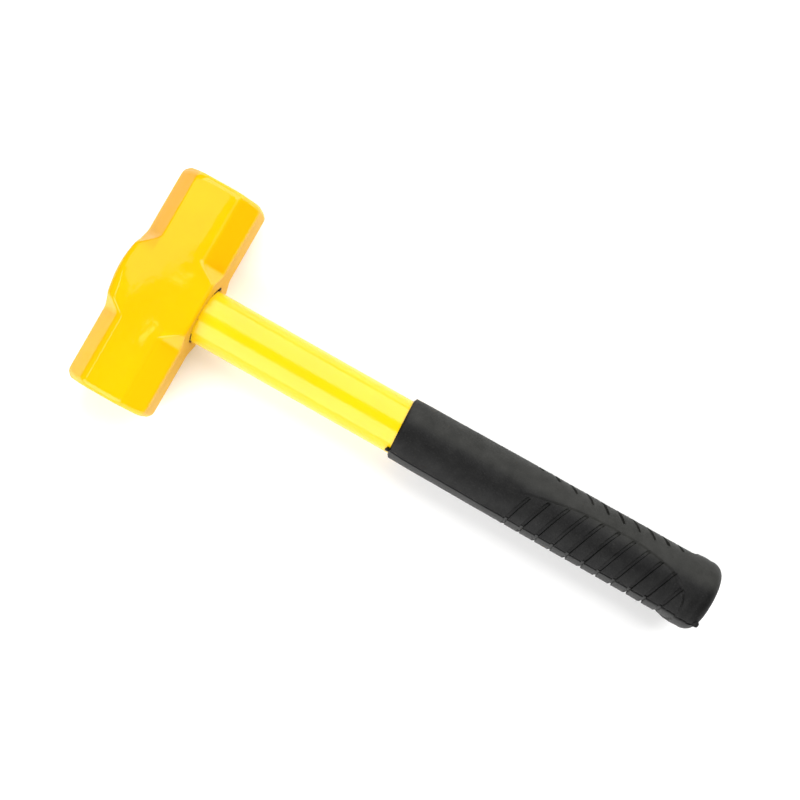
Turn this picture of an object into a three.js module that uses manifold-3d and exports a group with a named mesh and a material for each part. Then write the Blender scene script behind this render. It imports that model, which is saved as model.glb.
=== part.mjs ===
import * as THREE from 'three';
import { mergeVertices, toCreasedNormals } from 'three/addons/utils/BufferGeometryUtils.js';
import Module from 'manifold-3d';

// Hand sledge hammer lying on one cheek. Millimetres, +Z up.
// +X runs along the handle from the head to the butt, +Y is the striking axis,
// and the origin is the middle of the lower cheek, straight under the eye.

// ---- driving dimensions -------------------------------------------------
const HEAD_W = 38.0;          // across the flats, in X and in Z
const HEAD_FACET = 18.9;      // width of each flat at the octagonal ends
const HEAD_L = 104.7;         // striking face to striking face
const HEAD_SHIFT = 0.75;      // the eye is punched this far off the middle of the head
const END_BEVEL = 2.9;        // bevel round each striking face
const BLOCK_Y = 12.4;         // half length of the square block round the eye
const RAMP_Y = 19.2;          // where the corner ramps have run out to the octagon
const BLOCK_EDGE = 0.75;      // how far the long corners of the block are eased
const BOSS = 2.1;             // crown of the boss opposite the handle
const BOSS_Y = 14.5;          // half length of the boss
const EYE_GAP = 0.4;          // annular gap between eye and tube
const EYE_LEAD = 0.7;         // lead-in chamfer at both ends of the eye

const TUBE_R = 12.5;          // outside radius of the handle tube
const TUBE_WALL = 1.5;
const TUBE_X0 = -19.2;        // top end, inside the eye
const TUBE_X1 = 263.0;        // lower end, inside the grip

const PLUG_LEN = 14.0;        // taper plug that holds the tube's top end open
const PLUG_TAPER = 0.7;
const FIT_GAP = 0.3;          // clearance kept between neighbouring pieces

const GRIP_X0 = 116.7;        // mouth of the sleeve
const GRIP_X1 = 268.2;        // butt
const GRIP_FLOOR = 4.6;       // rubber left behind the end of the tube
const GRIP_TURN = 53.4;       // degrees: belly line of the grip, from +Z towards -Y
const SLOT_COUNT = 11;        // chevrons in each panel
const SLOT_X0 = 174.75;       // first chevron on the belly line
const SLOT_PITCH = 7.49;
const SLOT_R = 0.7;           // half width and depth of a chevron groove

const AXIS_Z = HEAD_W / 2;    // height of the handle axis

// ---- helpers --------------------------------------------------------------
const wasm = await Module();
wasm.setup();

function solid(geometry) {
  let g = geometry.index ? geometry.toNonIndexed() : geometry.clone();
  g.deleteAttribute('normal');
  g.deleteAttribute('uv');
  g = mergeVertices(g, 1e-5);
  const p = g.attributes.position.array;
  const src = g.index.array;
  let idx = [];
  for (let i = 0; i < src.length; i += 3) {
    const [a, b, c] = [src[i], src[i + 1], src[i + 2]];
    if (a !== b && b !== c && a !== c) idx.push(a, b, c);
  }
  let v = 0;
  for (let i = 0; i < idx.length; i += 3) {
    const [a, b, c] = [idx[i] * 3, idx[i + 1] * 3, idx[i + 2] * 3];
    v += p[a] * (p[b + 1] * p[c + 2] - p[b + 2] * p[c + 1])
       - p[a + 1] * (p[b] * p[c + 2] - p[b + 2] * p[c])
       + p[a + 2] * (p[b] * p[c + 1] - p[b + 1] * p[c]);
  }
  if (v < 0) for (let i = 0; i < idx.length; i += 3) [idx[i + 1], idx[i + 2]] = [idx[i + 2], idx[i + 1]];
  return new wasm.Manifold(new wasm.Mesh({
    numProp: 3, vertProperties: new Float32Array(p), triVerts: new Uint32Array(idx),
  }));
}

function geometryOf(manifold) {
  const m = manifold.getMesh();
  const g = new THREE.BufferGeometry();
  g.setAttribute('position', new THREE.BufferAttribute(new Float32Array(m.vertProperties), 3));
  g.setIndex(new THREE.BufferAttribute(new Uint32Array(m.triVerts), 1));
  return toCreasedNormals(g, 0.5);
}

function polygon(points) {
  return new THREE.Shape(points.map(([x, y]) => new THREE.Vector2(x, y)));
}

// a turned body on the handle axis, profile given as [x along handle, radius]
function turned(profile, segments) {
  const g = new THREE.LatheGeometry(profile.map(([x, r]) => new THREE.Vector2(r, x)), segments);
  g.rotateZ(-Math.PI / 2);
  g.translate(0, 0, AXIS_Z);
  return solid(g);
}

// ---- head -------------------------------------------------------------------
const W2 = HEAD_W / 2;
const L2 = HEAD_L / 2;
const B = END_BEVEL;
const OVER = 2;               // how far cutting envelopes run past the end faces

// plan outline, seen along Z: straight handle side, crowned boss on the other
const plan = [[W2, -L2 + B], [W2, L2 - B], [W2 - B, L2], [-W2 + B, L2], [-W2, L2 - B]];
for (let i = 0; i <= 12; i++) {
  const y = BOSS_Y * (1 - i / 6);
  plan.push([-W2 - BOSS * (1 - (y / BOSS_Y) ** 2) ** 1.15, y]);
}
plan.push([-W2, -L2 + B], [-W2 + B, -L2], [W2 - B, -L2]);
const planGeo = new THREE.ExtrudeGeometry(polygon(plan), { depth: 60, bevelEnabled: false });
planGeo.translate(0, 0, -30);

// side outline, seen along X: the two cheeks and the end bevels
const side = [
  [W2 - B - OVER, -L2 - OVER], [W2, -L2 + B], [W2, L2 - B], [W2 - B - OVER, L2 + OVER],
  [-W2 + B + OVER, L2 + OVER], [-W2, L2 - B], [-W2, -L2 + B], [-W2 + B + OVER, -L2 - OVER],
];
const sideGeo = new THREE.ExtrudeGeometry(polygon(side), { depth: 70, bevelEnabled: false });
sideGeo.rotateY(Math.PI / 2);           // shape x -> -Z, shape y -> Y, depth -> X
sideGeo.translate(-35, 0, 0);

// diagonal outline: octagon flats at both ends, ramps up to the square block
const DO = (W2 + HEAD_FACET / 2) / Math.SQRT2;
const DC = W2 * Math.SQRT2 - BLOCK_EDGE;
const half = [
  [DO - B - OVER, L2 + OVER], [DO, L2 - B], [DO, RAMP_Y + 1.4], [DO + 0.12, RAMP_Y],
  [DO + 0.55, RAMP_Y - 1.2], [DO + 1.45, RAMP_Y - 2.4], [DC - 0.5, BLOCK_Y + 0.25], [DC, BLOCK_Y - 0.6],
];
const diag = [...half, ...half.map(([d, y]) => [d, -y]).reverse(),
  ...half.map(([d, y]) => [-d, -y]), ...half.map(([d, y]) => [-d, y]).reverse()];
function diagonal(angle) {
  const g = new THREE.ExtrudeGeometry(polygon(diag), { depth: 90, bevelEnabled: false });
  g.translate(0, 0, -45);
  g.rotateY(angle);
  return solid(g);
}

let head = solid(planGeo).intersect(solid(sideGeo))
  .intersect(diagonal(Math.PI / 4)).intersect(diagonal(-Math.PI / 4));
const eyeR = TUBE_R + EYE_GAP;
const eye = new THREE.LatheGeometry([
  [0, -W2 - BOSS - 4], [eyeR + EYE_LEAD + 4, -W2 - BOSS - 4], [eyeR + 0.05, -W2 - 0.2], [eyeR, -W2 + 0.4],
  [eyeR, W2 - EYE_LEAD], [eyeR + EYE_LEAD + 2, W2 + 2], [0, W2 + 2],
].map(([r, x]) => new THREE.Vector2(r, x)), 56);
eye.rotateZ(-Math.PI / 2);
head = head.translate([0, HEAD_SHIFT, 0]).subtract(solid(eye)).translate([0, 0, AXIS_Z]);

// ---- handle tube and its plug -------------------------------------------------
const TI = TUBE_R - TUBE_WALL;
const tube = turned([
  [TUBE_X0, TI], [TUBE_X0, TUBE_R - 0.4], [TUBE_X0 + 0.4, TUBE_R],
  [TUBE_X1 - 0.4, TUBE_R], [TUBE_X1, TUBE_R - 0.4], [TUBE_X1, TI], [TUBE_X0, TI],
], 56);

const PR = TI - FIT_GAP;
const plug = turned([
  [TUBE_X0, 0], [TUBE_X0, PR - 0.5], [TUBE_X0 + 0.5, PR],
  [TUBE_X0 + PLUG_LEN - 0.6, PR - PLUG_TAPER], [TUBE_X0 + PLUG_LEN, PR - PLUG_TAPER - 0.6], [TUBE_X0 + PLUG_LEN, 0],
], 40);

// ---- rubber grip ------------------------------------------------------------
// outside radius along the sleeve
const gripOuter = [
  [GRIP_X0, 13.7], [GRIP_X0 + 0.5, 14.1], [125, 14.25], [150, 14.45], [175, 14.6],
  [215, 14.75], [240, 14.9], [251.9, 14.95], [254.8, 15.35], [258.0, 15.85], [261.8, 16.1],
  [263.9, 15.85], [265.6, 15.15], [266.8, 14.1], [267.6, 12.6], [GRIP_X1 - 0.15, 9.0],
];
function gripR(x) {
  for (let i = 1; i < gripOuter.length; i++) {
    const [x0, r0] = gripOuter[i - 1];
    const [x1, r1] = gripOuter[i];
    if (x <= x1) return r0 + (r1 - r0) * (x - x0) / (x1 - x0);
  }
  return 0;
}
const boreR = TUBE_R + FIT_GAP;
let grip = turned([
  [GRIP_X1 - GRIP_FLOOR, 0], [GRIP_X1 - GRIP_FLOOR, boreR], [GRIP_X0, boreR],
  ...gripOuter, [GRIP_X1, 0],
], 40);

// how far round from the belly line each chevron arm reaches, in degrees
const SLOT_REACH = [56, 63, 72, 78, 79, 80, 79, 77, 71, 66, 48];
const TURN = GRIP_TURN * Math.PI / 180;

// one arm of a chevron, lying on the rubber and leaning towards the butt
class Arm extends THREE.Curve {
  constructor(x0, reach, centre, sign) {
    super();
    Object.assign(this, { x0, reach, centre, sign });
  }
  getPoint(t, target = new THREE.Vector3()) {
    const a = this.reach * (t * 1.03 - 0.03);
    const x = this.x0 + 2.0 * Math.abs(a) + 2.1 * a * a;
    const th = this.centre + this.sign * a;
    const r = gripR(x) + 0.05;
    return target.set(x, -r * Math.sin(th), AXIS_Z + r * Math.cos(th));
  }
}
const slotShape = polygon([0, 1, 2, 3, 4].map((k) => [
  SLOT_R * Math.cos(k * Math.PI * 0.4), SLOT_R * Math.sin(k * Math.PI * 0.4)]));
for (const centre of [TURN, TURN + Math.PI]) {
  for (let i = 0; i < SLOT_COUNT; i++) {
    const reach = SLOT_REACH[i] * Math.PI / 180;
    let chevron = null;
    for (const sign of [-1, 1]) {
      const arm = new Arm(SLOT_X0 + i * SLOT_PITCH, reach, centre, sign);
      const cut = solid(new THREE.ExtrudeGeometry(slotShape, { steps: 4, extrudePath: arm, bevelEnabled: false }));
      chevron = chevron ? chevron.add(cut) : cut;
    }
    grip = grip.subtract(chevron);
  }
}

// ---- assembly -----------------------------------------------------------------
const group = new THREE.Group();
group.name = 'hand_sledge_hammer';
function piece(name, manifold, color, roughness, metalness) {
  const mesh = new THREE.Mesh(geometryOf(manifold),
    new THREE.MeshStandardMaterial({ color, roughness, metalness }));
  mesh.name = name;
  group.add(mesh);
}
piece('head', head, 0xf2b705, 0.32, 0.05);
piece('handle_tube', tube, 0xf7dc14, 0.28, 0.05);
piece('expansion_plug', plug, 0xeab308, 0.35, 0.05);
piece('grip_sleeve', grip, 0x262626, 0.75, 0.0);

export default group;
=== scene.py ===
import math

import bpy
import numpy as np
from mathutils import Matrix, Vector


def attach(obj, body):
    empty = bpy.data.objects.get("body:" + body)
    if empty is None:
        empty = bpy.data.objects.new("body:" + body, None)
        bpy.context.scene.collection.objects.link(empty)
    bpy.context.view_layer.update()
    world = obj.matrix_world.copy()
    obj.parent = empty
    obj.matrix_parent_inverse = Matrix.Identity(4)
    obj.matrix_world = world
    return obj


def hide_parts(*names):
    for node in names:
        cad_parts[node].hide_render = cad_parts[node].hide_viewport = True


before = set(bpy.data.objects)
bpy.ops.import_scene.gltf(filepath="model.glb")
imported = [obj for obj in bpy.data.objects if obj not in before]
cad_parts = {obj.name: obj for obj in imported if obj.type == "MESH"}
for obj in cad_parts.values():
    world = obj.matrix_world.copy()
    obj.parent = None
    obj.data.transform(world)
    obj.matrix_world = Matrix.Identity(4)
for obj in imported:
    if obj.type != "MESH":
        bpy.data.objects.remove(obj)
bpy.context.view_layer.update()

MM = 0.001
AXIS_Z = 19.0  # handle axis above the lower cheek, mm

# ------------------------------------------------------------------ helpers


def smooth(a, b, x):
    t = np.clip((x - a) / (b - a), 0.0, 1.0)
    return t * t * (3.0 - 2.0 * t)


def mesh_object(name, verts_mm, faces, mat, sharp_deg=None):
    me = bpy.data.meshes.new(name)
    me.from_pydata([tuple(v) for v in (np.asarray(verts_mm) * MM)], [], faces)
    me.validate(clean_customdata=False)
    me.update()
    ob = bpy.data.objects.new(name, me)
    bpy.context.scene.collection.objects.link(ob)
    if mat is not None:
        me.materials.append(mat)
    shade(ob, sharp_deg)
    return ob


def shade(ob, sharp_deg=None):
    me = ob.data
    me.polygons.foreach_set("use_smooth", [True] * len(me.polygons))
    if sharp_deg is not None:
        bpy.context.view_layer.objects.active = ob
        for o in bpy.context.selected_objects:
            o.select_set(False)
        ob.select_set(True)
        bpy.ops.object.shade_smooth_by_angle(angle=math.radians(sharp_deg))
        ob.select_set(False)
    me.update()


def ring_faces(m, n, offset=0, flip=False, closed_rows=False):
    """Quads between m rings of n points each."""
    out = []
    rows = m if closed_rows else m - 1
    for j in range(rows):
        a = offset + j * n
        b = offset + ((j + 1) % m) * n
        for i in range(n):
            k = (i + 1) % n
            q = (a + i, a + k, b + k, b + i)
            out.append(q[::-1] if flip else q)
    return out


def make_outward(ob):
    """Turns the faces outward if the signed volume comes out negative."""
    me = ob.data
    me.calc_loop_triangles()
    nt = len(me.loop_triangles)
    tri = np.empty(nt * 3, dtype=np.int32)
    me.loop_triangles.foreach_get("vertices", tri)
    co = np.empty(len(me.vertices) * 3)
    me.vertices.foreach_get("co", co)
    co = co.reshape(-1, 3)
    t = co[tri.reshape(-1, 3)]
    vol = np.einsum("ij,ij->i", t[:, 0], np.cross(t[:, 1], t[:, 2])).sum()
    if vol < 0:
        me.flip_normals()
        me.update()
    return ob


def turned(name, profile, segments, mat, sharp_deg=30, wobble=None):
    """A body turned about the handle axis. profile is (x, r) in mm; r = 0 at an end closes it, otherwise the loop closes on itself."""
    th = np.linspace(0, 2 * math.pi, segments, endpoint=False)
    verts, faces = [], []
    start_tip = profile[0][1] == 0
    end_tip = profile[-1][1] == 0
    body = profile[(1 if start_tip else 0) : (-1 if end_tip else None)]
    for x, r in body:
        rr = np.full(segments, float(r))
        xx = np.full(segments, float(x))
        if wobble is not None:
            rr, xx = wobble(xx, rr, th)
        for i in range(segments):
            verts.append((xx[i], -rr[i] * math.sin(th[i]), AXIS_Z + rr[i] * math.cos(th[i])))
    m = len(body)
    closed = not start_tip and not end_tip
    faces += ring_faces(m, segments, closed_rows=closed)
    if start_tip:
        c = len(verts)
        verts.append((profile[0][0], 0, AXIS_Z))
        faces += [(c, (i + 1) % segments, i) for i in range(segments)]
    if end_tip:
        c = len(verts)
        verts.append((profile[-1][0], 0, AXIS_Z))
        o = (m - 1) * segments
        faces += [(c, o + i, o + (i + 1) % segments) for i in range(segments)]
    ob = mesh_object(name, verts, faces, mat)
    make_outward(ob)
    shade(ob, sharp_deg)
    return ob


# ---------------------------------------------------------------- materials


def node(nt, kind, x=0, y=0, **values):
    n = nt.nodes.new(kind)
    n.location = (x, y)
    for k, v in values.items():
        if hasattr(n, k):
            setattr(n, k, v)
        else:
            n.inputs[k.replace("_", " ")].default_value = v
    return n


def noise_tex(nt, coord, scale, detail=2.0, rough=0.5, distortion=0.0):
    n = nt.nodes.new("ShaderNodeTexNoise")
    n.inputs["Scale"].default_value = scale
    n.inputs["Detail"].default_value = detail
    n.inputs["Roughness"].default_value = rough
    n.inputs["Distortion"].default_value = distortion
    nt.links.new(coord, n.inputs["Vector"])
    return n.outputs["Fac"]


def ramp(nt, fac, stops):
    r = nt.nodes.new("ShaderNodeValToRGB")
    els = r.color_ramp.elements
    while len(els) < len(stops):
        els.new(0.5)
    for e, (p, c) in zip(els, stops):
        e.position = p
        e.color = (*c, 1.0) if len(c) == 3 else c
    nt.links.new(fac, r.inputs["Fac"])
    return r.outputs["Color"]


def map_range(nt, val, a, b, c, d, smooth_step=False):
    m = nt.nodes.new("ShaderNodeMapRange")
    if smooth_step:
        m.interpolation_type = "SMOOTHSTEP"
    m.inputs["From Min"].default_value = a
    m.inputs["From Max"].default_value = b
    m.inputs["To Min"].default_value = c
    m.inputs["To Max"].default_value = d
    nt.links.new(val, m.inputs["Value"])
    return m.outputs["Result"]


def math_node(nt, op, a, b=None, c=None):
    m = nt.nodes.new("ShaderNodeMath")
    m.operation = op
    for i, v in enumerate((a, b, c)):
        if v is None:
            continue
        if isinstance(v, (int, float)):
            m.inputs[i].default_value = v
        else:
            nt.links.new(v, m.inputs[i])
    return m.outputs["Value"]


def mix_rgb(nt, fac, a, b, mode="MIX"):
    m = nt.nodes.new("ShaderNodeMix")
    m.data_type = "RGBA"
    m.blend_type = mode
    for sock, v in ((m.inputs[0], fac), (m.inputs[6], a), (m.inputs[7], b)):
        if isinstance(v, (int, float)):
            sock.default_value = v
        elif isinstance(v, tuple):
            sock.default_value = (*v, 1.0) if len(v) == 3 else v
        else:
            nt.links.new(v, sock)
    return m.outputs[2]


def base_material(name):
    mat = bpy.data.materials.new(name)
    mat.use_nodes = True
    nt = mat.node_tree
    bsdf = next(n for n in nt.nodes if n.type == "BSDF_PRINCIPLED")
    tc = nt.nodes.new("ShaderNodeTexCoord")
    return mat, nt, bsdf, tc.outputs["Object"]


def bump(nt, height, strength, distance, normal=None):
    b = nt.nodes.new("ShaderNodeBump")
    b.inputs["Strength"].default_value = strength
    b.inputs["Distance"].default_value = distance
    nt.links.new(height, b.inputs["Height"])
    if normal is not None:
        nt.links.new(normal, b.inputs["Normal"])
    return b.outputs["Normal"]


def radius_from_axis(nt, co):
    """Distance from the handle axis, and y over that distance."""
    sep = nt.nodes.new("ShaderNodeSeparateXYZ")
    nt.links.new(co, sep.inputs[0])
    dz = math_node(nt, "SUBTRACT", sep.outputs["Z"], AXIS_Z * MM)
    rr = math_node(nt, "ADD", math_node(nt, "MULTIPLY", dz, dz), math_node(nt, "MULTIPLY", sep.outputs["Y"], sep.outputs["Y"]))
    r = math_node(nt, "SQRT", rr)
    return sep.outputs["X"], sep.outputs["Y"], r, math_node(nt, "DIVIDE", sep.outputs["Y"], r)


def enamel(name, light, dark, peel=0.25, gloss=(0.05, 0.10), eye=None, level=0.34):
    """Glossy enamel: slow colour drift, orange peel, small roughness changes. eye is 'hole' for the head, whose
    chamfers and sides get painted shade and light by position and whose eye mouth gets a near-black ring of painted
    shade; eye is 'shaft' for the tube, which gets ragged spots of painted shade and painted reflection at the eye's
    mouth.
    """
    mat, nt, bsdf, co = base_material(name)
    drift = noise_tex(nt, co, 38, 3, 0.55)
    fine = noise_tex(nt, co, 420, 2, 0.5)
    col = ramp(nt, drift, [(0.34, dark), (0.66, light)])
    col = mix_rgb(nt, map_range(nt, fine, 0.35, 0.7, 0.0, 0.10), col, tuple(0.86 * c for c in dark))
    rough = map_range(nt, noise_tex(nt, co, 70, 4, 0.6), 0.3, 0.7, *gloss)
    painted_gap_shade = None
    if eye == "hole":
        x, y, r, side = radius_from_axis(nt, co)
        off = math_node(nt, "ABSOLUTE", x)
        # painted shade: the upper chamfers are painted a darker orange
        painted_shade_upper_chamfers = math_node(nt, "MULTIPLY", map_range(nt, y, 0.011, 0.017, 0.0, 1.0, True), map_range(nt, off, 0.0102, 0.0114, 0.0, 1.0, True))
        col = mix_rgb(nt, painted_shade_upper_chamfers, col, (0.74, 0.39, 0.001))
        # painted shade: the upper chamfer on the boss side is painted darker still
        painted_shade_boss_chamfer = math_node(nt, "MULTIPLY", map_range(nt, y, 0.011, 0.017, 0.0, 1.0, True), map_range(nt, x, -0.0102, -0.0114, 0.0, 1.0, True))
        col = mix_rgb(nt, painted_shade_boss_chamfer, col, (0.70, 0.34, 0.001))
        # painted light: the lower chamfer on the +X side is painted a lighter yellow
        low = math_node(nt, "MULTIPLY", map_range(nt, y, -0.011, -0.017, 0.0, 1.0, True), map_range(nt, x, 0.0096, 0.0108, 0.0, 1.0, True))
        col = mix_rgb(nt, low, col, (0.78, 0.455, 0.001))
        # painted shade: both side faces of the head are painted a darker orange
        col = mix_rgb(nt, map_range(nt, off, 0.0178, 0.0186, 0.0, 1.0, True), col, (0.74, 0.41, 0.001))
        # painted shade: a near-black ring is painted in the eye's mouth, where the gap to the tube lies in shade; it is
        # widest towards +Y and a little wider towards -Y
        rag = math_node(nt, "MULTIPLY", math_node(nt, "SUBTRACT", noise_tex(nt, co, 380, 3, 0.6), 0.5), 0.0004)
        up = map_range(nt, side, 0.95, 1.0, 0.0, 0.0016, True)
        low = map_range(nt, side, -0.93, -1.0, 0.0, 0.0006, True)
        lim = math_node(nt, "ADD", math_node(nt, "ADD", up, low), math_node(nt, "ADD", rag, 0.01264))
        gap = math_node(nt, "SUBTRACT", lim, r)
        painted_gap_shade = map_range(nt, gap, -0.00008, 0.00012, 0.0, 1.0, True)
        painted_gap_shade_col = (0.010, 0.007, 0.004)
        # the film loses its mirror gloss at a grazing angle
        lw = nt.nodes.new("ShaderNodeLayerWeight")
        lw.inputs["Blend"].default_value = 0.5
        rough = math_node(nt, "ADD", rough, map_range(nt, lw.outputs["Facing"], 0.58, 0.78, 0.0, 0.60, True))
    if eye == "shaft":
        x, y, r, side = radius_from_axis(nt, co)
        # painted shade: ragged spots on the tube at the eye's mouth, near-black towards the ±Y sides as the gap's shade
        # and orange-brown elsewhere as a painted reflection of the head
        rag = noise_tex(nt, co, 700, 3, 0.6)
        xx = math_node(nt, "ADD", x, math_node(nt, "MULTIPLY", math_node(nt, "SUBTRACT", rag, 0.5), 0.0008))
        lo = map_range(nt, xx, 0.01790, 0.01830, 0.0, 1.0, True)
        hi = map_range(nt, xx, 0.01900, 0.01930, 1.0, 0.0, True)
        wide = math_node(nt, "MULTIPLY", map_range(nt, math_node(nt, "ABSOLUTE", side), 0.55, 0.95, 0.0, 1.0, True), 0.16)
        spot = math_node(nt, "ADD", noise_tex(nt, co, 210, 3, 0.6, 0.6), wide)
        hole = map_range(nt, spot, 0.53, 0.60, 0.0, 1.0, True)
        painted_gap_shade = math_node(nt, "MULTIPLY", math_node(nt, "MULTIPLY", lo, hi), hole)
        painted_gap_shade_col = mix_rgb(nt, map_range(nt, math_node(nt, "ABSOLUTE", side), 0.5, 0.85, 0.0, 1.0, True), (0.40, 0.15, 0.002), (0.03, 0.014, 0.004))
    # where the gap shade is painted, the roughness is raised as well
    if painted_gap_shade is not None:
        col = mix_rgb(nt, painted_gap_shade, col, painted_gap_shade_col)
        rough = math_node(nt, "ADD", rough, math_node(nt, "MULTIPLY", painted_gap_shade, 0.5))
    nt.links.new(col, bsdf.inputs["Base Color"])
    nt.links.new(rough, bsdf.inputs["Roughness"])
    bsdf.inputs["Coat Weight"].default_value = 0.1
    bsdf.inputs["Coat Roughness"].default_value = 0.04
    bsdf.inputs["Specular IOR Level"].default_value = level
    n = bump(nt, noise_tex(nt, co, 120, 2, 0.5), peel, 0.00035)
    n = bump(nt, noise_tex(nt, co, 520, 2, 0.5), peel * 0.8, 0.00008, n)
    nt.links.new(n, bsdf.inputs["Normal"])
    return mat


def rubber(name):
    mat, nt, bsdf, co = base_material(name)
    patch = noise_tex(nt, co, 160, 5, 0.65)
    grain = noise_tex(nt, co, 1500, 3, 0.6)
    x, y, r, side = radius_from_axis(nt, co)
    col = ramp(nt, patch, [(0.3, (0.0010, 0.0010, 0.0011)), (0.7, (0.0065, 0.0065, 0.0062))])
    # painted sheen: a lighter, patchy band is painted on the side facing +Y
    painted_sheen_band = ramp(nt, patch, [(0.3, (0.0120, 0.0122, 0.0105)), (0.7, (0.0215, 0.0215, 0.0190))])
    col = mix_rgb(nt, map_range(nt, side, 0.12, 0.50, 0.0, 1.0, True), col, painted_sheen_band)
    # sine of the angle past the parting plane: negative on the lower mould half
    sep = nt.nodes.new("ShaderNodeSeparateXYZ")
    nt.links.new(co, sep.inputs[0])
    dz = math_node(nt, "SUBTRACT", sep.outputs["Z"], AXIS_Z * MM)
    turn = math.radians(53.4)
    half = math_node(nt, "ADD", math_node(nt, "MULTIPLY", y, math.cos(turn)), math_node(nt, "MULTIPLY", dz, math.sin(turn)))
    half = math_node(nt, "DIVIDE", half, r)
    # painted sheen: the lower mould half is painted a lighter grey
    col = mix_rgb(nt, map_range(nt, half, -0.029, -0.061, 0.0, 1.0, True), col, (0.033, 0.033, 0.0325))
    # painted shade: a near-black line along the step of the parting line
    painted_seam_shade = map_range(nt, math_node(nt, "ABSOLUTE", half), 0.020, 0.040, 1.0, 0.0, True)
    col = mix_rgb(nt, painted_seam_shade, col, (0.0008, 0.0008, 0.0008))
    # the end of the butt is one even colour
    end = ramp(nt, patch, [(0.3, (0.0080, 0.0080, 0.0076)), (0.7, (0.0170, 0.0170, 0.0158))])
    col = mix_rgb(nt, map_range(nt, x, 0.2658, 0.2673, 0.0, 1.0, True), col, end)
    col = mix_rgb(nt, map_range(nt, grain, 0.56, 0.76, 0.0, 0.45), col, (0.026, 0.0255, 0.0245))
    nt.links.new(col, bsdf.inputs["Base Color"])
    nt.links.new(map_range(nt, noise_tex(nt, co, 90, 4, 0.6), 0.3, 0.7, 0.50, 0.66), bsdf.inputs["Roughness"])
    bsdf.inputs["Specular IOR Level"].default_value = 0.18
    n = bump(nt, grain, 0.7, 0.00018)
    n = bump(nt, noise_tex(nt, co, 300, 3, 0.5), 0.25, 0.00016, n)
    nt.links.new(n, bsdf.inputs["Normal"])
    return mat


M_HEAD = enamel("enamel_golden", (0.77, 0.43, 0.001), (0.75, 0.40, 0.001), peel=0.12, gloss=(0.03, 0.055), eye="hole", level=0.28)
M_TUBE = enamel("enamel_lemon", (0.78, 0.52, 0.002), (0.76, 0.49, 0.002), peel=0.12, gloss=(0.15, 0.24), eye="shaft")
M_PLUG = enamel("enamel_plug", (0.76, 0.43, 0.002), (0.70, 0.37, 0.002), peel=0.35)
M_GRIP = rubber("rubber_black")

# --------------------------------------------------------------------- head

W2, L2 = 19.0, 52.35
HEAD_SHIFT = 0.75  # the eye is punched this far off the middle of the head
FACET = 18.9
D_OCT = (W2 + FACET / 2) / math.sqrt(2)
D_BLOCK = W2 * math.sqrt(2) - 0.75
BLOCK_Y, RAMP_Y = 12.4, 18.6
BOSS, BOSS_Y = 2.05, 14.5


def smin(a, b, k):
    h = max(k - abs(a - b), 0.0) / k
    return min(a, b) - h * h * k * 0.25


def boss_height(y):
    return BOSS * max(0.0, 1 - (y / BOSS_Y) ** 2) ** 1.15


def corner_distance(y, sx, sz):
    """Distance of a corner flat from the middle at station y. Each corner's ramps differ a little, as forged ones do."""
    y0 = BLOCK_Y + 0.5 * math.sin(3.1 * sx + 1.7 * sz + (1.0 if y > 0 else 2.2))
    y1 = RAMP_Y + 0.5 * math.sin(1.3 * sx + 2.9 * sz + (0.4 if y > 0 else 2.9))
    top = D_BLOCK
    if sx < 0:  # the corner follows the boss outward, and is drawn down towards one end
        top += 0.55 * boss_height(y) - (0.75 if sz > 0 else 0.5) * float(smooth(-8.0, 11.5, -y))
    low = D_OCT + (0.0 if sx > 0 or sz < 0 else (0.8 if y > 0 else 0.35))
    slope = (top - low) / (y1 - y0)
    line = top - (abs(y) - y0) * slope
    d = smin(top, line, 0.9)
    return -smin(-low, -d, 1.3)


# sum of slow waves: the skin of a forging under thick enamel is never dead flat
_rng = np.random.default_rng(7)
_waves = []
for _ in range(16):
    lam = _rng.uniform(13.0, 42.0)
    k = _rng.normal(size=3)
    k = k / np.linalg.norm(k) * 2 * math.pi / lam
    _waves.append((k, _rng.uniform(0, 2 * math.pi), lam / 42.0))
_norm = math.sqrt(sum(a * a for *_, a in _waves) / 2)


def waviness(p):
    s = sum(a * np.sin(p @ k + ph) for k, ph, a in _waves) / _norm
    return s


NA, NF = 7, 6  # points on each rounded corner, and on each flat

# corner radii at the octagonal ends and on the block, going round from +X through +Z
RHO_OCT = [2.6, 4.0, 1.5, 2.2, 2.4, 2.6, 3.4, 2.4]
RHO_BLOCK = [1.5, 1.5, 3.2, 2.2, 1.7, 1.7, 1.5, 1.5]


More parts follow.
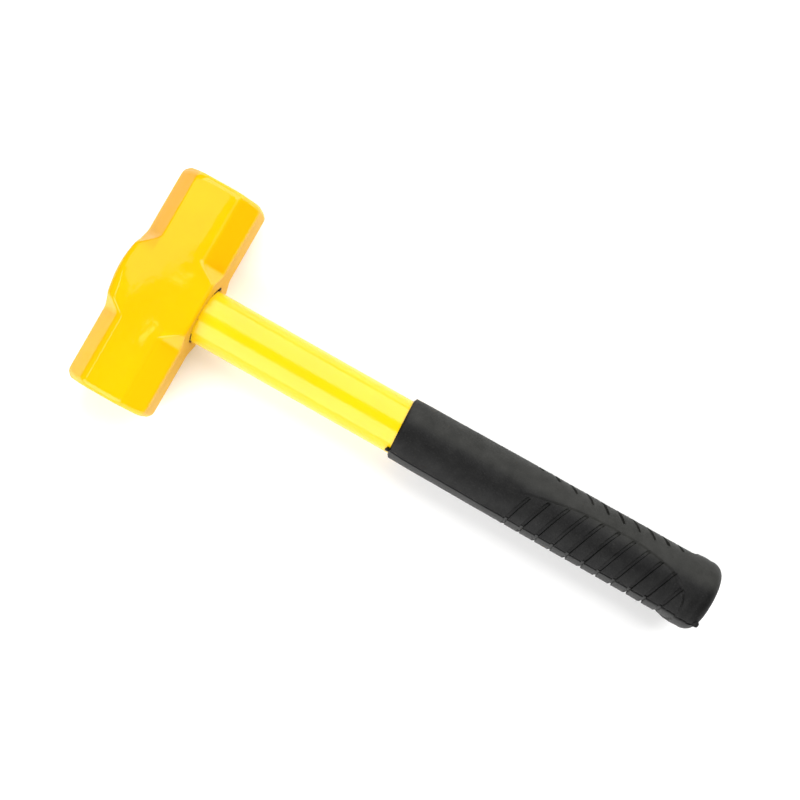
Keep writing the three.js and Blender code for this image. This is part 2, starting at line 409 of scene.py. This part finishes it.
def section(y, inset):
    """One ring of the head at station y, drawn in by inset, as (x, z) with z from the handle axis."""
    boss = boss_height(y)
    d = [W2, corner_distance(y, 1, 1), W2, corner_distance(y, -1, 1), W2 + boss,
         corner_distance(y, -1, -1), W2, corner_distance(y, 1, -1)]
    d = [v - inset for v in d]
    mixed = float(smooth(11.0, 18.0, abs(y)))
    ang = [k * math.pi / 4 for k in range(8)]
    nrm = [(math.cos(a), math.sin(a)) for a in ang]
    c45 = 1 + math.cos(math.pi / 4)
    corners, rhos = [], []
    for k in range(8):
        (ax, az), (bx, bz) = nrm[k], nrm[(k + 1) % 8]
        da, db = d[k], d[(k + 1) % 8]
        det = ax * bz - az * bx
        vx, vz = (da * bz - az * db) / det, (ax * db - bx * da) / det
        rho = RHO_BLOCK[k] * (1 - mixed) + RHO_OCT[k] * mixed
        if k == 2 and y < 4:  # long soft shoulder between cheek and boss
            rho += 2.6 * float(smooth(-4.0, 9.0, -y)) * (1 - mixed)
        if k == 2 and y < 0:
            rho += 3.6 * mixed
        rho += 1.1 * inset
        corners.append((vx - rho * (ax + bx) / c45, vz - rho * (az + bz) / c45))
        rhos.append(rho)
    pts = []
    for k in range(8):
        cx, cz = corners[k]
        rho = rhos[k]
        for i in range(NA + 1):
            a = ang[k] + (math.pi / 4) * i / NA
            pts.append((cx + rho * math.cos(a), cz + rho * math.sin(a)))
        nx, nz = corners[(k + 1) % 8]
        rho = rhos[(k + 1) % 8]
        a = ang[k] + math.pi / 4
        x0, z0 = pts[-1]
        x1, z1 = nx + rho * math.cos(a), nz + rho * math.sin(a)
        for i in range(1, NF):
            t = i / NF
            pts.append((x0 + (x1 - x0) * t, z0 + (z1 - z0) * t))
    return np.array(pts)


def turned_limit(e):
    """Largest radius left by the turned bevel, e mm in from the striking face."""
    return 1000.0 if e >= 7.0 else 22.2 - 3.9 * ((7.0 - e) / 7.0) ** 2.4


def head_mesh():
    stations = []
    stations += list(np.arange(0.0, 10.5, 0.75))
    stations += list(np.arange(10.5, 21.5, 0.22))
    stations += list(np.arange(21.5, L2 - 7.0, 0.95)) + list(np.arange(L2 - 7.0, L2 - 4.4, 0.5))
    ends = [(4.3, 0.0), (3.7, 0.0), (3.2, 0.02), (2.8, 0.08), (2.45, 0.2), (2.1, 0.42), (1.75, 0.7), (1.4, 1.0),
            (1.1, 1.28), (0.85, 1.56), (0.66, 1.86), (0.53, 2.2), (0.44, 2.65), (0.38, 3.3)]
    rows = [(s, 0.0) for s in stations if s < L2 - 4.5] + [(L2 - e, t) for e, t in ends]
    rows = [(-y, t) for y, t in rows[:0:-1]] + rows
    rings = []
    for y, t in rows:
        s = section(y, t)
        p = np.column_stack([s[:, 0], np.full(len(s), y), s[:, 1]])
        w = 0.010 * (waviness(p) + 1.6)
        w = np.clip(w, 0.0, 0.3)
        # the cheeks fall away a little from their middles
        fall = 0.08 * smooth(2.0, 22.0, np.hypot(p[:, 0], p[:, 1])) * (abs(p[:, 2]) > 15)
        r = np.hypot(p[:, 0], p[:, 2])
        lim = turned_limit(L2 - abs(y))
        h = np.maximum(0.9 - np.abs(r - lim), 0.0) / 0.9
        f = (np.minimum(r, lim) - h * h * 0.9 * 0.25 - w - fall) / r
        p[:, 0] *= f
        p[:, 2] *= f
        rings.append(p)
    n = len(rings[0])
    verts = np.concatenate(rings)
    faces = ring_faces(len(rings), n)
    count = len(verts)
    extra = []
    # striking faces: rings closing in on a slightly crowned middle
    for sign, base, rim in ((1, (len(rings) - 1) * n, rings[-1]), (-1, 0, rings[0])):
        centre = np.array([rim[:, 0].mean(), 0.0, rim[:, 2].mean()])
        prev = base
        rim_y = abs(rim[0, 1])
        for sc in (0.9, 0.75, 0.55, 0.35, 0.15):
            p = centre + (rim - [0, rim[0, 1], 0] - centre) * sc
            y = rim_y + (L2 - 0.03 - rim_y) * (1 - sc * sc)
            p[:, 1] = sign * (y - 0.04 * (1 + np.clip(waviness(p * 1.7), -1, 1)) * (1 - sc * 0.5) * 0.5)
            start = count + sum(len(e) for e in extra)
            extra.append(p)
            for i in range(n):
                k = (i + 1) % n
                q = (prev + i, prev + k, start + k, start + i)
                faces.append(q if sign > 0 else q[::-1])
            prev = start
        tip = count + sum(len(e) for e in extra)
        extra.append(np.array([[centre[0], sign * (L2 - 0.05), centre[2]]]))
        for i in range(n):
            k = (i + 1) % n
            f = (prev + i, prev + k, tip)
            faces.append(f if sign > 0 else f[::-1])
    verts = np.concatenate([verts] + extra)
    verts[:, 1] += HEAD_SHIFT
    verts[:, 2] += AXIS_Z
    return verts, faces


hv, hf = head_mesh()
head = mesh_object("hammer_head", hv, hf, M_HEAD)
make_outward(head)


# the eye, with an uneven rim where drips of paint stopped short of the tube
def eye_wobble(x, r, th):
    ragged = 0.05 * np.sin(3 * th + 1.1) + 0.04 * np.sin(7 * th + 0.3) + 0.03 * np.sin(13 * th + 2.0)
    up = np.clip(-np.sin(th), 0, 1) ** 14  # +Y side: the widest part of the gap
    low = np.clip(np.sin(th), 0, 1) ** 20
    lead = np.clip((r - 12.72) / 0.45, 0, 1)
    return r + ragged * (0.4 + 0.6 * lead) + (1.45 * up + 0.4 * low) * (0.25 + 0.75 * lead), x


cutter = turned("eye_cutter", [
    (-30.0, 0.0), (-30.0, 18.0), (-21.6, 14.6), (-20.2, 13.7), (-19.2, 13.25), (-17.8, 13.0), (-10.0, 12.72),
    (17.0, 12.72), (17.9, 12.74), (18.4, 12.8), (18.7, 12.92), (18.9, 13.2), (19.3, 14.0), (30.0, 17.0), (30.0, 0.0),
], 144, None, None, wobble=eye_wobble)
mod = head.modifiers.new("eye", "BOOLEAN")
mod.operation = "DIFFERENCE"
mod.solver = "EXACT"
mod.object = cutter
bpy.context.view_layer.update()
dg = bpy.context.evaluated_depsgraph_get()
cut = bpy.data.meshes.new_from_object(head.evaluated_get(dg))
head.modifiers.clear()
head.data = cut
bpy.data.objects.remove(cutter, do_unlink=True)
head.data.materials.clear()
head.data.materials.append(M_HEAD)
shade(head, 32)

# --------------------------------------------------------------------- tube

TUBE_R, TUBE_I = 12.5, 11.0
X0, X1 = -19.2, 263.0
tube_profile = [(X0, TUBE_I + 0.25), (X0, TUBE_R - 0.45), (X0 + 0.15, TUBE_R - 0.15), (X0 + 0.5, TUBE_R)]
tube_profile += [(float(x), TUBE_R) for x in np.arange(-17.0, 261.5, 3.1)]
tube_profile += [(X1 - 0.5, TUBE_R), (X1 - 0.15, TUBE_R - 0.15), (X1, TUBE_R - 0.45), (X1, TUBE_I + 0.25),
                 (X1 - 0.25, TUBE_I), (X0 + 0.25, TUBE_I)]


def tube_wobble(x, r, th):
    p = np.column_stack([x, r * np.sin(th), r * np.cos(th)])
    return r - 0.02 * (1 + np.clip(waviness(p), -1, 1)) * (r > 12), x


tube = turned("handle_tube_skin", tube_profile, 144, M_TUBE, 35, wobble=tube_wobble)

# --------------------------------------------------------------------- plug

plug = turned("taper_plug", [
    (X0 + 0.25, 0.0), (X0 + 0.2, 3.0), (X0 + 0.15, 9.1), (X0 + 0.2, 9.95), (X0 + 0.45, 10.4), (X0 + 0.9, 10.65),
    (X0 + 13.3, 10.0), (X0 + 13.8, 9.75), (X0 + 14.0, 9.2), (X0 + 14.0, 0.0),
], 96, M_PLUG, 35)

# --------------------------------------------------------------------- grip

TURN = math.radians(53.4)
GX0, GX1 = 116.7, 268.2
SLOT_X0, PITCH, SLOTS = 174.75, 7.49, 11
REACH = np.radians([56, 64, 72, 77.5, 79, 80, 79.5, 77.5, 72.5, 67, 50])
SLOT_HALF, SLOT_DEEP = 0.72, 1.15


def lean(a0):
    """How far a chevron has leant towards the butt at angle a0 from the parting line; the lower mould half starts straight."""
    a = np.where(np.abs(a0) <= math.pi / 2, np.abs(a0), math.pi - np.abs(a0))
    a = np.minimum(a, math.radians(80))
    upper = 2.0 * a + 2.1 * a * a
    lower = 6.885 * np.clip((a - 0.42) / 0.976, 0.0, 1.0) ** 1.6
    return np.where(a0 > 0, lower, upper)


body_x = np.array([GX0, 116.8, 116.95, 117.1, 117.2, 117.35, 117.6, 125.0, 150.0, 175.0, 215.0, 240.0, 251.9, 254.8, 258.0, 262.0])
body_r = np.array([12.98, 13.14, 13.22, 13.26, 13.7, 13.98, 14.12, 14.25, 14.45, 14.58, 14.68, 14.78, 14.86, 15.1, 15.5, 15.86])
panel_x = np.array([150.0, 160.0, 166.0, 179.8, 187.4, 194.6, 202.0, 209.0, 216.1, 226.9, 234.0, 241.1, 246.2, 250.4, 253.0, 254.7, 256.2, 257.1, 270])
panel_a = np.radians([42, 47.0, 50.0, 61.4, 68.2, 73.8, 77.9, 80, 80.6, 80.4, 77.5, 72.2, 67.0, 57.5, 49.2, 38, 22, 0, -40])

# stations along the sleeve: coarse on the plain part, tight on the groove walls
u_rows = [GX0, 116.74, 116.8, 116.87, 116.95, 117.05, 117.1, 117.15, 117.2, 117.27, 117.35, 117.46, 117.6, 118.0, 119.1]
u_rows += list(np.arange(120.0, 160.0, 1.6)) + list(np.arange(160.0, 172.9, 0.7))
for i in range(SLOTS):
    c = SLOT_X0 + i * PITCH
    u_rows += [c + o for o in (-1.6, -1.15, -0.92, -0.8, -0.7, -0.6, -0.48, -0.25, 0.0, 0.25, 0.48, 0.6, 0.7, 0.8, 0.92, 1.15, 1.6, 2.3, 3.05, 3.745, 4.4, 5.1)]
u_rows += [252.0 + i * (262.0 - 252.0) / 26 for i in range(27)]
u_rows = np.array(sorted(set(round(v, 4) for v in u_rows if v <= 262.0)))
near = np.array([-0.055, -0.034, -0.02, -0.010, 0.0, 0.010, 0.02, 0.034, 0.055])
base = np.linspace(-math.pi, math.pi, 256, endpoint=False)
cols = [c for c in base if min(abs(c), abs(abs(c) - math.pi)) > 0.064]
cols = np.array(sorted(cols + list(near) + [math.pi + v if v < 0 else -math.pi + v for v in near]))
U, A0 = np.meshgrid(u_rows, cols, indexing="ij")
AF = np.where(np.abs(A0) <= math.pi / 2, np.abs(A0), math.pi - np.abs(A0))  # angle from the nearer parting line
shear = np.clip((U - 150.0) / 22.0, 0, 1) * (1 - np.clip((U - 252.0) / 10.0, 0, 1))
X = U + lean(A0) * shear


def curve(x, xs, ys):
    """Smooth curve through a table of points."""
    m = np.gradient(ys, xs)
    x = np.clip(x, xs[0], xs[-1])
    i = np.clip(np.searchsorted(xs, x) - 1, 0, len(xs) - 2)
    h = xs[i + 1] - xs[i]
    t = (x - xs[i]) / h
    return ((2 * t**3 - 3 * t**2 + 1) * ys[i] + (t**3 - 2 * t**2 + t) * h * m[i]
            + (3 * t**2 - 2 * t**3) * ys[i + 1] + (t**3 - t**2) * h * m[i + 1])


def outer_radius(x, a, a0):
    r = np.interp(x, body_x, body_r)
    # a faint edge along both parting lines: the two mould halves are not quite half round
    lens = 0.62 * (1 - np.abs(np.sin(a))) - 0.2
    r = r + lens * smooth(117.5, 124.0, x) * (1 - smooth(250.0, 262.0, x))
    # grooved panels lie lower than the plain band between them, fading out towards the head
    edge = curve(x, panel_x, panel_a)
    s = 14.6 * (edge - a)
    inside = smooth(-0.30, 0.22, s)
    strength = smooth(164.0, 192.0, x) * (1 - smooth(257.5, 262.0, x))
    back = np.where(a0 < -math.pi / 2, 0.25, 1.0)  # the panel behind the upper parting line is nearly flush
    step = np.where(a0 < -math.pi / 2, np.maximum(smooth(0.55, 1.3, a), (1 - inside) * smooth(247.0, 251.0, x)), 1 - inside)
    r = r + 0.48 * strength * step - 0.05 * back * strength * inside
    bead = np.where((a0 < 0) & (a0 > -math.pi / 2), 0.46, 0.12)  # plain only on the panel that faces up
    r = r + bead * np.exp(-(((s + 0.65) / 0.55) ** 2)) * smooth(247.0, 252.0, x) * (1 - smooth(257.0, 258.5, x))
    return r


R = outer_radius(X, AF, A0)
# chevron grooves
groove = np.zeros_like(R)
alpha = np.arctan((lean(A0 + 0.01) - lean(A0 - 0.01)) / 0.02 / 14.6)
alpha = np.where(np.minimum(np.abs(A0), math.pi - np.abs(A0)) < 0.012, 0.0, np.abs(alpha))
for i in range(SLOTS):
    du = (X - (SLOT_X0 + i * PITCH + lean(A0))) * np.cos(alpha)
    past = 14.6 * np.maximum(AF - (REACH[i] - 0.045), 0.0)
    dist = np.hypot(du, past)
    deep = SLOT_DEEP * (0.8 + 0.2 * math.sin(i * 1.7))
    groove = np.maximum(groove, deep * smooth(SLOT_HALF + 0.12, SLOT_HALF - 0.14, dist))
    # a soft lip where the rubber has crept up beside the groove
    R += 0.05 * np.exp(-((dist - SLOT_HALF - 0.30) / 0.22) ** 2) * (groove < 0.02)
R = R - groove
# parting line: a fine step with torn flash
seam_d = 14.6 * AF
ragged = 0.5 + 0.5 * np.sin(X * 2.3 + 3 * np.sin(X * 0.37)) * np.sin(X * 0.91 + 1.0)
R -= (0.55 + 0.45 * smooth(235.0, 252.0, X)) * smooth(0.55 + 0.5 * smooth(236.0, 250.0, X), 0.16, seam_d) * (0.55 + 0.45 * ragged) * smooth(117.8, 119.0, X)
# slow unevenness of a moulded sleeve pulled over a tube
p = np.stack([X, 14 * np.sin(A0), 14 * np.cos(A0)], axis=-1)
R += 0.05 * np.clip(waviness(p * 1.3), -1.5, 1.5) * smooth(118, 124, X)

TH = A0 + TURN
verts = np.stack([X, -R * np.sin(TH), AXIS_Z + R * np.cos(TH)], axis=-1).reshape(-1, 3)
nc = len(cols)
faces = ring_faces(len(u_rows), nc)
rows = [verts]
count = len(verts)
last = (len(u_rows) - 1) * nc
# butt: rounded shoulder, then a nearly flat, faintly domed end
butt = [(262.5, 15.85), (263.1, 15.78), (263.8, 15.62), (264.5, 15.38), (265.1, 15.1), (265.7, 14.72), (266.2, 14.32),
        (266.6, 13.88), (266.95, 13.4), (267.25, 12.85), (267.5, 12.2), (267.68, 11.4), (267.82, 10.4), (267.93, 9.0),
        (268.0, 7.0), (268.05, 4.6), (268.08, 2.3)]
seam_c = smooth(0.42, 0.10, 14.6 * np.where(np.abs(cols) <= math.pi / 2, np.abs(cols), math.pi - np.abs(cols)))
for x, r in butt:
    rr = r - 0.70 * seam_c * (r > 5)
    th = cols + TURN
    ring = np.stack([np.full(nc, x) - 0.10 * seam_c * (x > 267), -rr * np.sin(th), AXIS_Z + rr * np.cos(th)], axis=-1)
    for i in range(nc):
        k = (i + 1) % nc
        faces.append((last + i, last + k, count + k, count + i))
    rows.append(ring)
    last = count
    count += nc
rows.append(np.array([[268.1, 0.0, AXIS_Z]]))
for i in range(nc):
    faces.append((last + i, last + (i + 1) % nc, count))
count += 1
# mouth and bore
prev = 0
th = cols + TURN
for x, r in ((116.72, 12.85), (116.85, 12.74), (117.3, 12.7), (180.0, 12.7), (263.4, 12.7), (263.5, 12.6), (263.5, 6.0)):
    ring = np.stack([np.full(nc, x), -r * np.sin(th), AXIS_Z + r * np.cos(th)], axis=-1)
    for i in range(nc):
        k = (i + 1) % nc
        faces.append((prev + k, prev + i, count + i, count + k))
    rows.append(ring)
    prev = count
    count += nc
rows.append(np.array([[263.5, 0.0, AXIS_Z]]))
for i in range(nc):
    faces.append((prev + (i + 1) % nc, prev + i, count))
count += 1
verts = np.concatenate(rows)
# the mouth was trimmed a little out of square
verts[:, 0] -= 0.045 * verts[:, 1] * (1 - smooth(118.0, 150.0, verts[:, 0]))
grip = mesh_object("rubber_grip", verts, faces, M_GRIP)
make_outward(grip)
shade(grip, 62)


def nub(name, x, r, dims, mat, turn=0.0):
    """A torn crumb of flash left on the parting line."""
    bpy.ops.mesh.primitive_ico_sphere_add(subdivisions=4, radius=1.0)
    ob = bpy.context.object
    ob.name = name
    th = TURN + turn
    co = np.empty(len(ob.data.vertices) * 3)
    ob.data.vertices.foreach_get("co", co)
    co = co.reshape(-1, 3)
    lump = 1 + 0.16 * np.sin(co[:, 0] * 3.1 + 1) * np.sin(co[:, 1] * 2.7 + 2) + 0.10 * np.sin(co[:, 2] * 5.1)
    co = co * lump[:, None] * np.array(dims)
    radial = np.array([0, -math.sin(th), math.cos(th)])
    tangent = np.array([0, -math.cos(th), -math.sin(th)])
    out = np.array([x, 0, AXIS_Z]) + r * radial + co[:, :1] * np.array([1.0, 0, 0]) + co[:, 1:2] * tangent + co[:, 2:] * radial
    ob.data.vertices.foreach_set("co", (out * MM).reshape(-1))
    ob.data.materials.append(mat)
    shade(ob)
    return ob


flash_mouth = nub("grip_flash_mouth", 116.4, 13.5, (1.1, 1.1, 0.85), M_GRIP, 0.05)
flash_butt = nub("grip_flash_butt", 266.2, 14.3, (1.5, 1.7, 1.8), M_GRIP, -0.05)

# ------------------------------------------------------------ tie to the CAD

for obj, cad in ((head, "head"), (tube, "handle_tube"), (plug, "expansion_plug"), (grip, "grip_sleeve")):
    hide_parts(cad)
    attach(obj, "root")
for obj in (flash_mouth, flash_butt):
    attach(obj, "root")

# ------------------------------------------------------------- studio set


def stage_plane(name, size_x, size_y, loc, mat, rot=(0, 0, 0)):
    me = bpy.data.meshes.new(name)
    x, y = size_x / 2, size_y / 2
    me.from_pydata([(-x, -y, 0), (x, -y, 0), (x, y, 0), (-x, y, 0)], [], [(0, 1, 2, 3)])
    ob = bpy.data.objects.new(name, me)
    ob.location = loc
    ob.rotation_euler = rot
    bpy.context.scene.collection.objects.link(ob)
    me.materials.append(mat)
    return ob


floor_mat, nt, bsdf, co = base_material("pale_floor")
bsdf.inputs["Base Color"].default_value = (0.92, 0.918, 0.915, 1)
bsdf.inputs["Roughness"].default_value = 0.8
bsdf.inputs["Specular IOR Level"].default_value = 0.2
bsdf.inputs["Emission Color"].default_value = (1.0, 0.99, 0.98, 1)
bsdf.inputs["Emission Strength"].default_value = 0.03
stage_plane("floor", 3.0, 3.0, (0.1, 0, -0.0002), floor_mat)

card_mat, nt, bsdf, co = base_material("dark_card")
bsdf.inputs["Base Color"].default_value = (0.05, 0.05, 0.05, 1)
bsdf.inputs["Roughness"].default_value = 0.9
card = stage_plane("card", 0.60, 0.57, (0.100, -0.105, 0.80), card_mat)

world = bpy.data.worlds.new("studio")
bpy.context.scene.world = world
world.use_nodes = True
bg = next(n for n in world.node_tree.nodes if n.type == "BACKGROUND")
bg.inputs["Color"].default_value = (1.0, 0.995, 0.985, 1)
bg.inputs["Strength"].default_value = 0.07
# the backdrop beyond the floor is seen pale, while the light it gives stays low
wnt = world.node_tree
pale = wnt.nodes.new("ShaderNodeBackground")
pale.inputs["Color"].default_value = (0.97, 0.97, 0.965, 1)
pale.inputs["Strength"].default_value = 1.0
seen = wnt.nodes.new("ShaderNodeLightPath")
pick = wnt.nodes.new("ShaderNodeMixShader")
wnt.links.new(seen.outputs["Is Camera Ray"], pick.inputs[0])
wnt.links.new(bg.outputs[0], pick.inputs[1])
wnt.links.new(pale.outputs[0], pick.inputs[2])
wnt.links.new(pick.outputs[0], next(n for n in wnt.nodes if n.type == "OUTPUT_WORLD").inputs["Surface"])


def area(name, loc, target, sx, sy, radiance, color=(1, 1, 1), spin=0.0):
    li = bpy.data.lights.new(name, "AREA")
    li.shape = "RECTANGLE"
    li.size, li.size_y = sx, sy
    li.energy = radiance * math.pi * sx * sy
    li.color = color
    ob = bpy.data.objects.new(name, li)
    d = Vector(target) - Vector(loc)
    rot = d.to_track_quat("-Z", "Y").to_matrix() @ Matrix.Rotation(spin, 3, "Z")
    m = rot.to_4x4()
    m.translation = Vector(loc)
    ob.matrix_world = m
    bpy.context.scene.collection.objects.link(ob)
    return ob


area("softbox_far", (0.28, 0.78, 0.72), (0.20, 0, 0.02), 1.45, 1.5, 3.5)
area("softbox_near", (-0.18, -0.88, 0.62), (-0.10, 0, 0.02), 1.5, 1.25, 4.0)
area("overhead_right", (0.82, 0.45, 0.80), (0.82, 0.45, 0.0), 0.75, 0.84, 0.8)
area("glint_low", (-0.1465, -0.0300, 0.775), (-0.1465, -0.0300, 0.0), 0.006, 0.012, 9.0, (1.0, 0.95, 0.35))
area("glint_mid_a", (-0.149, 0.0355, 0.775), (-0.149, 0.0355, 0.0), 0.021, 0.005, 6.0, (1.0, 0.95, 0.35))
area("glint_mid_b", (-0.149, 0.0475, 0.775), (-0.149, 0.0475, 0.0), 0.021, 0.004, 6.0, (1.0, 0.95, 0.35))
area("edge_strip", (-0.35, -0.060, 0.775), (-0.35, -0.060, 0.0), 0.14, 0.09, 3.0)

# a window pane seen in the upper cheek
pane_mat, nt, bsdf, co = base_material("pane")
bsdf.inputs["Base Color"].default_value = (0, 0, 0, 1)
bsdf.inputs["Specular IOR Level"].default_value = 0.0
bsdf.inputs["Emission Color"].default_value = (1, 1, 1, 1)
bsdf.inputs["Emission Strength"].default_value = 1.4
outline = [(-0.120, 0.165), (-0.1457, 0.069), (-0.163, 0.048), (-0.169, 0.026), (-0.182, 0.0145), (-0.192, -0.010),
           (-0.546, 0.147), (-0.475, 0.323)]
me = bpy.data.meshes.new("pane")
me.from_pydata([(x, y, 0.78) for x, y in outline], [], [tuple(range(len(outline)))])
me.materials.append(pane_mat)
pane = bpy.data.objects.new("pane", me)
bpy.context.scene.collection.objects.link(pane)

# ------------------------------------------------------------------ camera

cam_data = bpy.data.cameras.new("camera")
cam_data.sensor_width = 36.0
cam_data.lens = 1388.4 / 800 * 36.0
cam_data.clip_start = 0.01
cam_data.clip_end = 20
cam = bpy.data.objects.new("camera", cam_data)
bpy.context.scene.collection.objects.link(cam)
ax, ay, roll, image_roll = 0.0368, 0.0270, 0.0031, math.radians(29.4)
rot = Matrix.Rotation(roll, 3, "Z") @ Matrix.Rotation(ay, 3, "Y") @ Matrix.Rotation(ax, 3, "X")
rot = rot @ Matrix.Rotation(image_roll, 3, "Z")
m = rot.to_4x4()
m.translation = Vector((0.1268, -0.01197, 0.6196))
cam.matrix_world = m
bpy.context.scene.camera = cam

bpy.context.scene.view_settings.view_transform = "Standard"
bpy.context.scene.view_settings.look = "None"
bpy.context.scene.view_settings.exposure = 0.0
